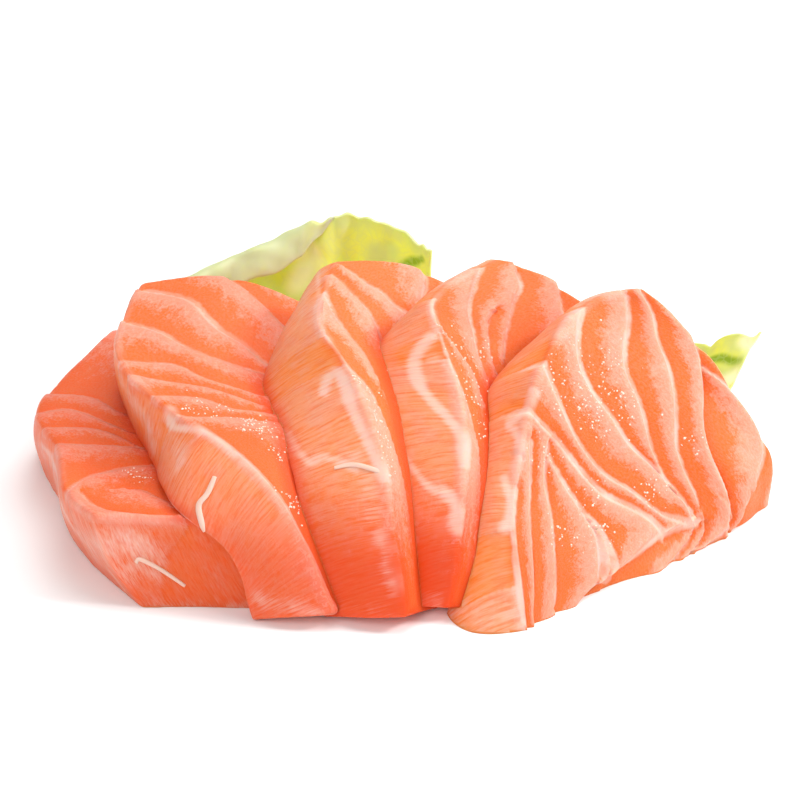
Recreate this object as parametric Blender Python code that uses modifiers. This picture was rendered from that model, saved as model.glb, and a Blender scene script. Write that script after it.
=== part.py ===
"""Salmon sashimi: five thick slices leaning on one another in a fan, with two lettuce leaves behind.

Metres, +Z up. The slices stand on Z = 0, the row runs along X and -Y is the front of the serving.
"""

import math
from collections import namedtuple

import bmesh
import bpy
from mathutils import Vector

MM = 0.001  # the sizes and places below are in millimetres

CENTRE = (0.6, 46.2)  # middle of the serving's footprint, which becomes the origin
TOUCH_GAP = 0.3  # left between pieces that rest on each other
FOOT_DIP = 1.5  # how far a slice's foot is drawn below the table before it is cut flat
EDGE_CREASE = 0.6  # how sharp the cut edges stay, from 0 to 1
LEAF_THICKNESS = 0.8
LEAF_CREST = 0.72  # share of a leaf's height below its crest, where its margin folds over
FLAKE_RELIEF = 1.2  # how far the cage stands out between the lines that part the flakes
RIM_SWELL = 0.9  # outward roundness of the cut rim

# One cross-section of a slice. Ridge is the upper edge between the broad cut face and the rim,
# rim the vector across the rim's thickness, knee the lower edge of the broad face, and crown how
# far that face bulges up between ridge and knee. Foot is how far the slice's foot on the table
# lies to the side of the knee above it. A slice's cage has cells along it, across its face and
# through it, the last row across being the foot, and each flake of its flesh is two cells long.
# Toe is how far its front end bulges and end_step how deep the torn flake at its back corner lies.
Station = namedtuple("Station", "ridge rim knee crown foot", defaults=((0, 0),))
Slice = namedtuple("Slice", "name cells toe end_step stations")

SLICES = (
    Slice("salmon_slice_1", (14, 6, 3), 0.5, 0.0, (
        Station((-48, 12.5, 14), (7.5, -4.5, -14), (-20, 12, 13.5), 0),
        Station((-53.5, 21, 13.5), (2, 2, -13.5), (-18, 22, 13), 0),
        Station((-55.5, 35, 13), (-1, 4.5, -13), (-17, 32, 12.5), 0),
        Station((-60.5, 47, 12.5), (-1, 6.5, -12.5), (-17, 42, 12.5), 0),
        Station((-58, 59.5, 12), (-1, 5, -12), (-19, 56, 12), 0),
        Station((-50, 77, 12), (-0.5, 4, -12), (-26, 69, 12), 0),
    )),
    Slice("salmon_slice_2", (14, 6, 3), 0.5, 0.0, (
        Station((-11, 2, 3), (-12, 2, -2.5), (-5, 8, 0), 0),
        Station((-17, 9.5, 16), (-9.5, -2.5, -5.5), (-2, 17, 0), 3),
        Station((-27, 20.5, 22), (-9, -6.5, -7), (2, 28, 0), 6),
        Station((-35.5, 27, 24), (-5, 4.5, -10.5), (5, 38, 0), 7),
        Station((-47, 45, 25), (-0.5, 9.5, -11.5), (7, 52, 0), 8),
        Station((-43.5, 64.5, 28), (-1, 9.5, -11.5), (4, 69, 0), 11),
    )),
    Slice("salmon_slice_3", (14, 6, 3), 0.5, 0.0, (
        Station((1, 1, 3), (-13, 3.5, -2.5), (6, 8, 0), 0),
        Station((-1, 6.5, 13.5), (-14, 3, 0), (9, 15, 0), 2),
        Station((-3, 15.5, 23.5), (-14.5, 4.5, -3.5), (13, 24, 0), 3),
        Station((-8, 31, 30.5), (-15, 8, -10), (18, 38, 0), 4),
        Station((-13.5, 42.5, 33), (-7, 6, -8), (24, 52, 0), 6),
        Station((-10.5, 59, 35), (-4, 3.5, -5), (30, 67, 0), 10),
    )),
    Slice("salmon_slice_4", (14, 6, 3), 0.5, 0.0, (
        Station((7.5, 3.5, 3), (-7, 4, -2.5), (15, 9, 0), 0),
        Station((9, 7.5, 12), (-9, 4.5, 0), (19, 16, 0), 1),
        Station((10, 16, 20.5), (-11.5, 5.5, -0.5), (25, 24, 0), 2),
        Station((10, 26.5, 27), (-17.5, 13, -3), (31, 35, 0), 2),
        Station((6, 40.5, 33), (-9.5, 3, -4.5), (38, 46, 0), 3),
        Station((5.5, 45, 36), (-1.5, 3.5, -2.5), (43, 54, 0), 6),
        Station((16, 56, 37), (-1.5, 5.5, -4), (50, 60, 0), 7),
    )),
    Slice("salmon_slice_5", (18, 8, 3), 3.0, 2.0, (
        Station((20.5, 0, -4), (-14, 2, 0), (22, 3, -5), 0),
        Station((18, 8, 11.5), (-9, 6, -4), (29, 10.5, 1), 0, (0, -0.5)),
        Station((18, 14.5, 17.5), (-7, 7, -2.5), (35, 15, 3), 0, (0, -0.5)),
        Station((20.5, 25, 26.5), (-8, 7.5, -4.5), (42, 22.5, 5), 1, (0, -5)),
        Station((23, 31, 31.5), (-6.5, 6, -5), (50, 29, 6), 1, (0, -4)),
        Station((30, 42, 36.5), (-1.5, 8, -5.5), (57.5, 31, 7), 1.5, (0, 1)),
        Station((39.5, 45, 37), (-1, 9, -6), (62.3, 40.5, 7.5), 2.5, (-2, -2)),
    )),
)


# A leaf is a sheet between its foot on the table and its crest, both running left to right. Belly
# is how far it bows back between them. Lip is how far the margin folds over to the front and how
# far along it does so, pleat the depth of its fold and ruffle that of its waves.
Leaf = namedtuple("Leaf", "name cells foot crest belly lip pleat ruffle")

LEAVES = (
    Leaf(
        "lettuce_leaf_left",
        (30, 12),
        ((-38, 80, 0), (-14, 81, 0), (5, 78.5, 0)),
        ((-41.5, 80, 18.5), (-29, 86, 22), (-13, 90, 27), (-2, 89, 26.5), (5.5, 82, 24.5)),
        4.5,
        (6.5, 0.7),
        3.0,
        0.9,
    ),
    Leaf(
        "lettuce_leaf_right",
        (14, 8),
        ((34, 69, 0), (47, 68, 0), (54.5, 64, 0)),
        ((32, 76, 6), (48, 76, 9), (62.7, 72, 15)),
        1.5,
        (0.0, 0.0),
        -1.5,
        0.4,
    ),
)


def to_world(place):
    """Metres from the origin, from millimetres in the frame of the tables above."""
    return (place - Vector((*CENTRE, 0))) * MM


def smooth_curve(points, u):
    """Place at u, from 0 to 1, on a smooth curve through evenly spaced points."""
    spans = len(points) - 1
    span = min(int(u * spans), spans - 1)
    t = u * spans - span
    before, start, end, after = (Vector(points[max(0, min(spans, span + k))]) for k in (-1, 0, 1, 2))
    return (
        start
        + 0.5 * t * (end - before)
        + 0.5 * t * t * (2 * before - 5 * start + 4 * end - after)
        + 0.5 * t**3 * (3 * start - before - 3 * end + after)
    )


def slice_point(piece, u, v, w):
    """Place in a slice: u along it, v from the ridge across the face to the foot, w through it."""
    ridge = smooth_curve([s.ridge for s in piece.stations], u)
    rim = smooth_curve([s.rim for s in piece.stations], u)
    knee = smooth_curve([s.knee for s in piece.stations], u)
    crown = smooth_curve([(0, 0, s.crown) for s in piece.stations], u)
    foot = smooth_curve([(*s.foot, 0) for s in piece.stations], u)
    knee_at = 1 - 1 / piece.cells[1]
    if v < knee_at:
        share = v / knee_at
        place = ridge.lerp(knee, share) + crown * 4 * share * (1 - share)
    else:
        share = (v - knee_at) / (1 - knee_at)
        place = knee + (foot - Vector((0, 0, max(knee.z, 0) + FOOT_DIP))) * share
    swell = (RIM_SWELL + piece.toe * (1 - u) ** 4) * 4 * w * (1 - w) * (1 - v) ** 4
    relief = FLAKE_RELIEF * abs(math.sin(math.pi * u * piece.cells[0] / 2))
    relief *= 0.7 + 0.3 * math.sin(9 * u + 5 * v)
    relief -= piece.end_step * max(0, min(1, (v - 0.5 - 3.3 * (1 - u)) / 0.1))
    place += (ridge - knee).normalized() * swell - rim.normalized() * relief * (1 - w) ** 2
    return place + rim * w


def box_cage(cells):
    """A bmesh cube from 0 to 1, cut into that many cells along X, Y and Z."""
    cage = bmesh.new()
    bmesh.ops.create_cube(cage, size=1)
    bmesh.ops.translate(cage, verts=cage.verts, vec=(0.5, 0.5, 0.5))
    for axis, count in enumerate(cells):
        edges = [e for e in cage.edges if abs((e.verts[0].co - e.verts[1].co)[axis]) > 0.5]
        bmesh.ops.subdivide_edges(cage, edges=edges, cuts=count - 1, use_grid_fill=True)
    crease = cage.edges.layers.float.new("crease_edge")
    for edge in cage.edges:
        if edge.calc_face_angle() > 1:
            edge[crease] = EDGE_CREASE
    return cage


def leaf_point(leaf, s, t):
    """Place in a leaf: s from its left end to its right one, t from its foot to its margin."""
    foot = smooth_curve(leaf.foot, s)
    crest = smooth_curve(leaf.crest, s)
    folded = max(0, min(1, (leaf.lip[1] - s) / 0.2))
    crest_at = 1 - (1 - LEAF_CREST) * folded
    rise = min(t / crest_at, 1)
    fold = max(t - crest_at, 0) / (1 - LEAF_CREST)
    lip = leaf.lip[0] * fold
    place = foot.lerp(crest, rise)
    place.y += leaf.belly * 4 * rise * (1 - rise)
    place += Vector((0, -0.75, -0.6)) * lip
    place.z += lip * (folded - fold) + LEAF_THICKNESS * 0.6
    place.y -= leaf.pleat * math.exp(-(((s - 0.5) / 0.06) ** 2)) * math.sin(math.pi * t)
    wave = leaf.ruffle * t**3
    place.y += wave * math.sin(2 * math.pi * 5.3 * s)
    place.z += 0.6 * wave * math.sin(2 * math.pi * 7.1 * s + 1)
    return place


def build_leaves(collection, material):
    for leaf in LEAVES:
        sheet = bmesh.new()
        bmesh.ops.create_grid(sheet, x_segments=leaf.cells[0], y_segments=leaf.cells[1], size=0.5)
        for vert in sheet.verts:
            vert.co = to_world(leaf_point(leaf, vert.co.x + 0.5, vert.co.y + 0.5))
        bmesh.ops.triangulate(sheet, faces=sheet.faces)
        mesh = bpy.data.meshes.new(leaf.name)
        sheet.to_mesh(mesh)
        sheet.free()
        mesh.shade_smooth()
        obj = new_object(leaf.name, mesh, collection, material)
        add_modifier(obj, "SOLIDIFY", thickness=LEAF_THICKNESS * MM, offset=0)


def add_modifier(obj, kind, **settings):
    modifier = obj.modifiers.new(kind.title(), kind)
    for name, value in settings.items():
        setattr(modifier, name, value)
    return modifier


def new_object(name, mesh, collection, material=None):
    obj = bpy.data.objects.new(name, mesh)
    collection.objects.link(obj)
    if material:
        mesh.materials.append(material)
    return obj


def slice_mesh(piece):
    """The slice's cage, bent from a box to its stations."""
    cage = box_cage(piece.cells)
    for vert in cage.verts:
        vert.co = to_world(slice_point(piece, *vert.co))
    mesh = bpy.data.meshes.new(piece.name)
    cage.to_mesh(mesh)
    cage.free()
    mesh.shade_smooth()
    return mesh


def make_cutter(obj):
    obj.hide_render = True
    obj.display_type = "WIRE"
    return obj


def build_slices(collection, cutters, material, table):
    """Each slice stands on the table and is hollowed by the ones that it lies on."""
    below = []
    for piece in SLICES:
        mesh = slice_mesh(piece)
        obj = new_object(piece.name, mesh, collection, material)
        add_modifier(obj, "SUBSURF", levels=1, render_levels=1)
        add_modifier(obj, "BOOLEAN", operation="DIFFERENCE", object=table)
        for cutter in below[-2:]:
            # EXACT turns a slice inside out where two curved faces all but touch
            cut = add_modifier(obj, "BOOLEAN", operation="DIFFERENCE", object=cutter)
            cut.solver = "MANIFOLD"
        cutter = make_cutter(new_object(piece.name + "_cutter", mesh.copy(), cutters))
        add_modifier(cutter, "SUBSURF", levels=1, render_levels=1)
        add_modifier(cutter, "DISPLACE", strength=TOUCH_GAP * MM, mid_level=0)
        below.append(cutter)


def table_block(cutters):
    """The space under the table top, which cuts every foot flat."""
    mesh = bpy.data.meshes.new("table_block")
    block = bmesh.new()
    bmesh.ops.create_cube(block, size=0.4)
    bmesh.ops.translate(block, verts=block.verts, vec=(0, 0, -0.2))
    block.to_mesh(mesh)
    block.free()
    return make_cutter(new_object("table_block", mesh, cutters))


def principled(name, colour, roughness, subsurface=0.0):
    material = bpy.data.materials.new(name)
    material.use_nodes = True
    shader = material.node_tree.nodes["Principled BSDF"]
    shader.inputs["Base Color"].default_value = (*colour, 1)
    shader.inputs["Roughness"].default_value = roughness
    shader.inputs["Subsurface Weight"].default_value = subsurface
    return material


def main():
    for obj in list(bpy.data.objects):
        bpy.data.objects.remove(obj)
    serving = bpy.data.collections.new("salmon_sashimi")
    cutters = bpy.data.collections.new("cutters")
    for collection in (serving, cutters):
        bpy.context.scene.collection.children.link(collection)
    salmon = principled("salmon_flesh", (0.85, 0.26, 0.1), 0.3, 0.2)
    build_slices(serving, cutters, salmon, table_block(cutters))
    build_leaves(serving, principled("lettuce", (0.55, 0.7, 0.15), 0.45))


main()
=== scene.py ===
"""Salmon sashimi: five raw slices with seams of fat, and two lettuce leaves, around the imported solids."""

import math
from collections import namedtuple

import bmesh
import bpy
import numpy as np
from bpy.props import FloatProperty, FloatVectorProperty, IntProperty, PointerProperty
from mathutils import Matrix, Vector, noise
from mathutils.bvhtree import BVHTree


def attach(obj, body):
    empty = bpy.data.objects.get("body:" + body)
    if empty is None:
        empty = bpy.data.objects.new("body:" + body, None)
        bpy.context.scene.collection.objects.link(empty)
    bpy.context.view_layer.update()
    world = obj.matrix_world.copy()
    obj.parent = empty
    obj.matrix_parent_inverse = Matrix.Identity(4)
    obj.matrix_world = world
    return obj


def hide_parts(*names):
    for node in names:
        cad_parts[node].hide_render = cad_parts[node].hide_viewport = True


bl_info = {
    "name": "Salmon sashimi",
    "version": (1, 0, 0),
    "blender": (4, 5, 0),
    "location": "3D View > Sidebar > Sashimi",
    "description": "Slices of raw salmon in a fan, with lettuce leaves and a studio stage",
    "category": "Object",
}

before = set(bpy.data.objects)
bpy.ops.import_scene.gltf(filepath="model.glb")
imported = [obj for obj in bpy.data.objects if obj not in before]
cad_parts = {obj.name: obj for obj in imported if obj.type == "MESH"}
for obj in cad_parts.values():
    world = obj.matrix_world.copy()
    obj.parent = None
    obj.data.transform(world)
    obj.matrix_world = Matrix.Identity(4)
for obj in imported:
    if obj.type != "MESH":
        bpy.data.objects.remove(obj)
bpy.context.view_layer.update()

MM = 0.001  # the tables below are in millimetres
CENTRE = (0.6, 46.2)  # middle of the serving's footprint, which is the origin of the solids
FOOT_DIP = 1.5  # how far a slice reaches below the table before it is cut flat
RIM_SWELL = 0.9  # outward roundness of the cut rim
CUT_ANGLE = math.radians(50)  # where a slice ends against its neighbour or the table, its edge is sharp
CREVICE_GLOW_REACH = 6.5 * MM  # how far out of crevices the painted red glow and shade reach, standing in for light going from slice to slice
LINE_STEPS = 4  # straight steps from one of a line's places to the next
FAR = 9.0  # further from a seam than its colour reaches
TEAR_EDGE = 0.6  # how far behind a torn seam the tear is at its full depth

# Shares of a slice's length, height or thickness.
END_FLAKE = 0.15  # how far the end flakes would run on past the ends
RIM_EDGE = 0.14  # how far down the broad face the rim's look reaches
FRONT_EDGE = 0.04  # how far along it the front end's look reaches
BACK_FACE = 0.85  # where the rim turns into the hidden face, which has the broad face's seams

PATCH_FADE = 2.2  # where a pale patch ends, in reaches
RIDGE_FAT_AND_HIGHLIGHT = 1.8  # width of the pale fringe along the ridge: fat, with a painted highlight on the edge
RIDGE_LUMPS = 12  # how many times it grows and shrinks along the slice
PALE_EDGE = (2.0, 0.3)  # how far onto the broad face the rim's pale places reach, and how far in full
TEAR_FADE = 6  # over what length a torn place grows shallow again, in depths
LOW_SHADE_HEIGHTS = (24 * MM, 8 * MM)  # over the table: where the painted shade starts to redden the rims, and where it is reddest
FLOOR_GLOW_HEIGHTS = (3 * MM, 0.5 * MM)  # and where the painted glow of light from the floor starts to pale the very foot, and where it is palest

# The relief: its widths, and where a flake is highest.
STAIR_TOP = 0.88  # share of a flake's way to the next seam at which it stands out most
GROOVE_WIDTH = 0.3
SWELL_WIDTH = 9.0
FURROW_WIDTH = 0.9
FURROW_STRETCH = 0.13  # width of a furrow between fibres, as a share of its length

STRAND_RINGS = 40
STRAND_STEP = 0.02  # share of a strand's length over which its way is measured
BEAD_FLATNESS = 0.6  # height of a bead of moisture, as a share of its radius
BEAD_SPREAD = 1.6  # a wet spot's reach, in standard deviations of its beads' places
BEAD_SEED = 7

LEAF_CREST = 0.72  # share of a leaf's height below its crest, where its margin folds over
LEAF_LIFT = 0.5  # how far a leaf's edge clears the table
LIP_FALL = Vector((0, -0.75, -0.6))  # way in which a folded margin leans
LIP_FADE = 0.1  # share of a leaf's width over which its folded margin straightens up
PLEAT_REACH = 0.06  # half the width of a leaf's fold, as a share of its width
WAVES = (5.3, 7.1)  # waves along a leaf's margin, back and forth and up and down
CRUMPLE_SIZE = 3.5  # width of the small dents in a leaf
CRUMPLE_DEPTH = 0.7
CRUMPLE_SEED = 2  # without it, noise_vector gives other dents on each run

EASED = {"interpolation_type": "SMOOTHSTEP"}  # settings of a Map Range node that starts and ends softly

# The slices stand where the solids do, on the same cross-sections. Ridge is the upper edge between
# the broad cut face and the rim, rim the vector across the rim's thickness, knee the lower edge of
# the broad face, crown how far that face bulges, and foot how far the foot lies beside the knee.
Station = namedtuple("Station", "ridge rim knee crown foot", defaults=((0, 0),))

# A seam is a line of fat on the broad face, with its width in mm, its places as shares of the
# slice's length and height, the depth in mm by which the flesh behind it is torn away, and how much
# wider it is at its end. A patch is a soft, pale field on the rim, with its reach in mm, its
# strength, and its places as shares of the length and the thickness; places below 0 are on the cut
# front end, beyond the rim's corner. A glint is a wet spot on the broad face, where beads with a painted
# highlight lie: its shares of length and height, and its reach in mm.
Seam = namedtuple("Seam", "width places step flare", defaults=(0.0, 0.0))
Patch = namedtuple("Patch", "reach strength places")
Glint = namedtuple("Glint", "along down reach")

# Slant is how far the fibres run back across the rim, as a share of the length, contrast how far
# the flakes go from orange to pink, flush how red all of the flesh is, and the low shade how red its
# rim is painted near the table, as painted shade. Cells are counted along, down and through a slice,
# with the last row down as its foot, and toe is how far the rim swells out at the front end, in mm.
Slice = namedtuple(
    "Slice",
    "name slant contrast flush blush stations seams patches glints cells toe",
    defaults=((14, 6, 3), 0.5),
)

SLICES = (
    Slice(
        "salmon_slice_1", slant=0.05, contrast=0.6, flush=0.45, blush=0.55,
        stations=(
            Station((-48, 12.5, 14), (7.5, -4.5, -14), (-20, 12, 13.5), 0),
            Station((-53.5, 21, 13.5), (2, 2, -13.5), (-18, 22, 13), 0),
            Station((-55.5, 35, 13), (-1, 4.5, -13), (-17, 32, 12.5), 0),
            Station((-60.5, 47, 12.5), (-1, 6.5, -12.5), (-17, 42, 12.5), 0),
            Station((-58, 59.5, 12), (-1, 5, -12), (-19, 56, 12), 0),
            Station((-50, 77, 12), (-0.5, 4, -12), (-26, 69, 12), 0),
        ),
        seams=(
            Seam(0.7, ((1.03, -0.05), (1.04, 0.5), (1.03, 1.05))),
            Seam(0.5, ((0.73, 0.01), (0.73, 0.08), (0.71, 0.17), (0.64, 0.26))),
            Seam(0.9, ((0.61, 0.01), (0.64, 0.1), (0.58, 0.21), (0.51, 0.29))),
            Seam(0.6, ((0.52, 0.02), (0.53, 0.18), (0.42, 0.29))),
            Seam(0.7, ((0.43, 0.01), (0.43, 0.08), (0.43, 0.15), (0.43, 0.22), (0.42, 0.34))),
            Seam(1.0, ((0.17, -0.02), (0.24, 0.06), (0.28, 0.12), (0.3, 0.18), (0.32, 0.24), (0.34, 0.36))),
            Seam(0.3, ((0.2, 0.24), (0.2, 0.29), (0.16, 0.34), (0.12, 0.38))),
            Seam(0.9, ((0.18, 0.05), (0.07, 0.08), (0.03, 0.19), (0.01, 0.36))),
        ),
        patches=(
            Patch(1.2, 0.7, ((0.5, 0.27), (0.26, 0.26), (0.15, 0.46))),
            Patch(1.5, 0.5, ((0.06, 0.3), (0.05, 0.9))),
            Patch(1.0, 0.6, ((0.03, 0.02), (-0.28, 0.02))),
            Patch(3.4, 0.65, ((0.12, 0.5), (0.0, 0.35), (-0.12, 0.3))),
            Patch(2.5, 0.5, ((0.5, 0.3), (0.3, 0.4), (0.14, 0.3))),
            Patch(2.0, 0.55, ((-0.02, 0.6), (-0.08, 0.52), (-0.1, 0.6))),
            Patch(1.6, 0.4, ((-0.1, 1.0), (-0.4, 1.0))),
        ),
        glints=(Glint(0.26, 0.29, 1.5), Glint(0.29, 0.24, 1.5)),
    ),
    Slice(
        "salmon_slice_2", slant=0.06, contrast=0.7, flush=0.3, blush=0.6,
        stations=(
            Station((-11, 2, 3), (-12, 2, -2.5), (-5, 8, 0), 0),
            Station((-17, 9.5, 16), (-9.5, -2.5, -5.5), (-2, 17, 0), 3),
            Station((-27, 20.5, 22), (-9, -6.5, -7), (2, 28, 0), 6),
            Station((-35.5, 27, 24), (-5, 4.5, -10.5), (5, 38, 0), 7),
            Station((-47, 45, 25), (-0.5, 9.5, -11.5), (7, 52, 0), 8),
            Station((-43.5, 64.5, 28), (-1, 9.5, -11.5), (4, 69, 0), 11),
        ),
        seams=(
            Seam(0.7, ((1.04, 0.2), (1.03, 0.6), (1.04, 1.05))),
            Seam(0.3, ((1.03, 0.2), (0.98, 0.3), (0.94, 0.38), (0.9, 0.46))),
            Seam(1.2, ((0.97, 0.02), (0.93, 0.16), (0.89, 0.22), (0.86, 0.27), (0.84, 0.32), (0.8, 0.38))),
            Seam(0.8, ((0.88, 0.02), (0.85, 0.11), (0.81, 0.18), (0.78, 0.26), (0.77, 0.38))),
            Seam(0.7, ((0.78, 0), (0.77, 0.08), (0.76, 0.14), (0.71, 0.2), (0.68, 0.31))),
            Seam(0.5, ((0.74, 0), (0.72, 0.05), (0.7, 0.12), (0.67, 0.21), (0.64, 0.29))),
            Seam(0.7, ((0.67, 0), (0.66, 0.07), (0.64, 0.14), (0.61, 0.19), (0.61, 0.31))),
            Seam(1.1, ((0.6, 0), (0.58, 0.02), (0.57, 0.11), (0.56, 0.24))),
            Seam(1.3, ((0.51, 0), (0.39, 0.01), (0.25, 0.02), (0.16, 0.02), (0.04, 0.11))),
        ),
        patches=(
            Patch(1.1, 0.9, ((0.62, 0.01), (0.58, 0.2), (0.51, 0.01), (0.38, 0))),
            Patch(2.2, 0.45, ((0.54, 0.35), (0.49, 0.44), (0.46, 0.72))),
            Patch(2.2, 0.6, ((0.75, 0.3), (0.66, 0.45), (0.6, 0.75))),
            Patch(1.6, 0.5, ((0.06, 0.86), (0, 0.02))),
        ),
        glints=(
            Glint(0.61, 0.1, 3.0), Glint(0.57, 0.22, 2.5), Glint(0.49, 0.2, 3.0), Glint(0.38, 0.19, 2.0),
            Glint(0.23, 0.1, 2.5),
        ),
    ),
    Slice(
        "salmon_slice_3", slant=0.07, contrast=0.8, flush=0.06, blush=0.8,
        stations=(
            Station((1, 1, 3), (-13, 3.5, -2.5), (6, 8, 0), 0),
            Station((-1, 6.5, 13.5), (-14, 3, 0), (9, 15, 0), 2),
            Station((-3, 15.5, 23.5), (-14.5, 4.5, -3.5), (13, 24, 0), 3),
            Station((-8, 31, 30.5), (-15, 8, -10), (18, 38, 0), 4),
            Station((-13.5, 42.5, 33), (-7, 6, -8), (24, 52, 0), 6),
            Station((-10.5, 59, 35), (-4, 3.5, -5), (30, 67, 0), 10),
        ),
        seams=(
            Seam(0.7, ((1.05, 0.28), (1.03, 0.6), (1.04, 1.05))),
            Seam(1.0, ((1.04, 0.28), (0.98, 0.31), (0.93, 0.32), (0.88, 0.34))),
            Seam(0.8, ((0.97, 0.04), (0.93, 0.12), (0.91, 0.19), (0.89, 0.24), (0.88, 0.3))),
            Seam(0.6, ((0.95, 0.0), (0.92, 0.05), (0.89, 0.1), (0.86, 0.16), (0.82, 0.21), (0.78, 0.23))),
            Seam(0.9, ((0.89, 0), (0.82, 0.06), (0.73, 0.12), (0.62, 0.14))),
            Seam(0.9, ((0.73, 0), (0.62, 0), (0.57, 0.06), (0.53, 0.08))),
        ),
        patches=(
            Patch(0.8, 0.9, ((0.6, 0.12), (0.585, 0.24), (0.55, 0.33))),
            Patch(0.9, 1.0, ((0.6, 0.12), (0.555, 0.1), (0.49, 0.12), (0.43, 0.09), (0.34, 0.02))),
            Patch(0.9, 0.75, ((0.47, 0.88), (0.42, 0.86), (0.38, 0.75), (0.39, 0.56), (0.36, 0.29))),
            Patch(2.2, 0.5, (
                (0.38, 0.19), (0.34, 0.15), (0.29, 0.12), (0.23, 0.09), (0.16, 0.04), (0.08, 0.02),
            )),
            Patch(1.0, 0.6, ((0.98, 0.5), (0.89, 0.11), (0.76, 0), (0.68, 0.03))),
            Patch(1.4, 0.3, ((0.04, 0.81), (0.02, 0.03))),
        ),
        glints=(
            Glint(0.57, 0.0, 1.5), Glint(0.55, 0.07, 1.5), Glint(0.49, 0.04, 1.8), Glint(0.44, 0.05, 1.8),
            Glint(0.39, 0.03, 1.8),
        ),
    ),
    Slice(
        "salmon_slice_4", slant=0.07, contrast=0.9, flush=0.16, blush=0.85,
        stations=(
            Station((7.5, 3.5, 3), (-7, 4, -2.5), (15, 9, 0), 0),
            Station((9, 7.5, 12), (-9, 4.5, 0), (19, 16, 0), 1),
            Station((10, 16, 20.5), (-11.5, 5.5, -0.5), (25, 24, 0), 2),
            Station((10, 26.5, 27), (-17.5, 13, -3), (31, 35, 0), 2),
            Station((6, 40.5, 33), (-9.5, 3, -4.5), (38, 46, 0), 3),
            Station((5.5, 45, 36), (-1.5, 3.5, -2.5), (43, 54, 0), 6),
            Station((16, 56, 37), (-1.5, 5.5, -4), (50, 60, 0), 7),
        ),
        seams=(
            Seam(0.7, ((1.05, 0.3), (1.03, 0.6), (1.04, 1.05))),
            Seam(0.4, ((1.06, 0.18), (1.0, 0.26), (0.95, 0.34))),
            Seam(0.8, ((0.98, 0.11), (0.94, 0.18), (0.89, 0.22), (0.84, 0.26), (0.78, 0.28), (0.7, 0.28))),
            Seam(0.5, ((0.84, 0.2), (0.73, 0.22), (0.68, 0.22), (0.63, 0.24))),
            Seam(0.9, (
                (1.0, -0.04), (0.96, 0.0), (0.92, 0.04), (0.86, 0.1),
                (0.79, 0.14), (0.73, 0.16), (0.66, 0.16), (0.61, 0.18),
            )),
            Seam(0.9, ((0.81, 0), (0.68, 0.01), (0.62, 0.06), (0.59, 0.11), (0.54, 0.13))),
            Seam(0.7, ((0.65, 0), (0.59, 0), (0.52, 0.02), (0.46, 0.05))),
        ),
        patches=(
            Patch(0.8, 1.0, (
                (0.64, 0.1), (0.61, 0.27), (0.57, 0.38), (0.51, 0.36),
                (0.47, 0.25), (0.41, 0.03), (0.34, 0),
            )),
            Patch(0.8, 0.75, (
                (0.35, 0.95), (0.32, 0.74), (0.29, 0.58), (0.27, 0.4), (0.27, 0.25), (0.25, 0.08),
            )),
            Patch(1.2, 0.9, ((0.27, 0.22), (0.25, 0.08), (0.2, 0.02))),
            Patch(0.8, 0.5, ((0.58, 0.21), (0.57, 0.04), (0.46, 0))),
            Patch(1.6, 0.5, ((0.02, 0.75), (0.02, 0.13))),
        ),
        glints=(
            Glint(0.64, 0.04, 2.5), Glint(0.58, 0.09, 2.5), Glint(0.51, 0.07, 2.0), Glint(0.68, 0.22, 2.5),
            Glint(0.45, 0.11, 1.5),
        ),
    ),
    Slice(
        "salmon_slice_5", slant=0.065, contrast=1.0, flush=0.1, blush=0.0, cells=(12, 8, 3), toe=3.0,
        stations=(
            Station((20.5, 0, -4), (-14, 2, 0), (22, 3, -5), 0),
            Station((18, 8, 11.5), (-9, 6, -4), (29, 10.5, 1), 0, (0, -0.5)),
            Station((18, 14.5, 17.5), (-7, 7, -2.5), (35, 15, 3), 0, (0, -0.5)),
            Station((20.5, 25, 26.5), (-8, 7.5, -4.5), (42, 22.5, 5), 1, (0, -5)),
            Station((23, 31, 31.5), (-6.5, 6, -5), (50, 29, 6), 1, (0, -4)),
            Station((30, 42, 36.5), (-1.5, 8, -5.5), (57.5, 31, 7), 1.5, (0, 1)),
            Station((39.5, 45, 37), (-1, 9, -6), (62.3, 40.5, 7.5), 2.5, (-2, -2)),
        ),
        seams=(
            Seam(1.1, ((1.02, -0.05), (1.025, 0.3), (1.035, 0.6), (1.045, 1.05))),
            Seam(1.3, ((0.33, 0.01), (0.21, 0), (0.11, 0), (0.06, 0))),
            Seam(1.25, ((0.44, 0.05), (0.38, 0.09), (0.24, 0.16), (0.12, 0.22), (0.07, 0.18))),
            Seam(1.25, ((0.46, 0.15), (0.39, 0.19), (0.33, 0.29), (0.21, 0.44), (0.11, 0.62))),
            Seam(1.25, ((0.44, 0.17), (0.41, 0.33), (0.39, 0.48), (0.36, 0.64), (0.26, 0.83))),
            Seam(1.5, (
                (0.5, 0), (0.49, 0.08), (0.48, 0.22), (0.46, 0.4),
                (0.46, 0.55), (0.49, 0.72), (0.52, 0.88),
            )),
            Seam(1.3, (
                (0.66, 0), (0.62, 0.07), (0.56, 0.18), (0.52, 0.3),
                (0.5, 0.47), (0.52, 0.64), (0.54, 0.81), (0.61, 0.89),
            )),
            Seam(1.1, (
                (0.82, 0), (0.77, 0.05), (0.72, 0.12), (0.68, 0.24),
                (0.66, 0.36), (0.63, 0.49), (0.63, 0.66), (0.62, 0.88),
            )),
            Seam(0.95, (
                (0.94, 0.02), (0.88, 0.14), (0.82, 0.22), (0.78, 0.29), (0.75, 0.39),
                (0.72, 0.46), (0.66, 0.59), (0.62, 0.74), (0.63, 0.88),
            )),
            Seam(0.85, (
                (0.99, 0.01), (0.96, 0.13), (0.91, 0.25), (0.88, 0.36), (0.83, 0.47),
                (0.77, 0.56), (0.73, 0.62), (0.69, 0.73), (0.66, 0.84),
            )),
            Seam(0.95, (
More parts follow.
